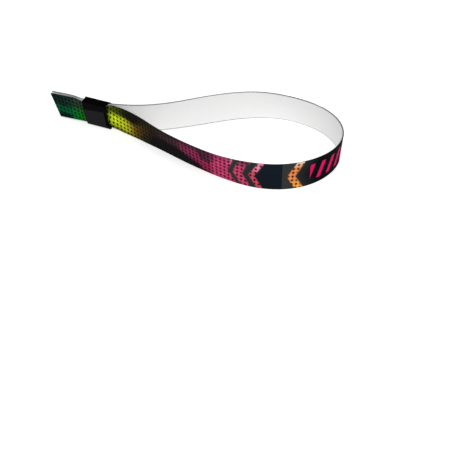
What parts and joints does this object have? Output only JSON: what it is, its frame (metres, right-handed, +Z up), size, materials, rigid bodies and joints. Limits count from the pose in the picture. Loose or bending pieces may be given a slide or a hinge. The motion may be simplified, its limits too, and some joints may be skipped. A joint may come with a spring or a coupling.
{
  "type": "woven fabric wristband",
  "caption": "Printed woven ribbon looped round and closed by a one-way moulded slider, its slant-cut ends side by side, standing open on its edge.",
  "frame": {"origin": "the middle of the whole wristband's bounding box, on the surface it stands on", "axes": "+X from the tails and the slider towards the loop's far turn, +Y away from the slider's face, +Z up"},
  "size_m": [0.15, 0.0666, 0.0166],
  "materials": {
    "printed_ribbon": "satin woven polyester ribbon, printed outside in black, green, yellow and pink dots and chevrons, white inside",
    "black_plastic": "moulded black plastic with a fine satin gloss"
  },
  "bodies": {
    "root": {"ribbon": "printed_ribbon", "slider": "black_plastic"}
  },
  "joints": []
}
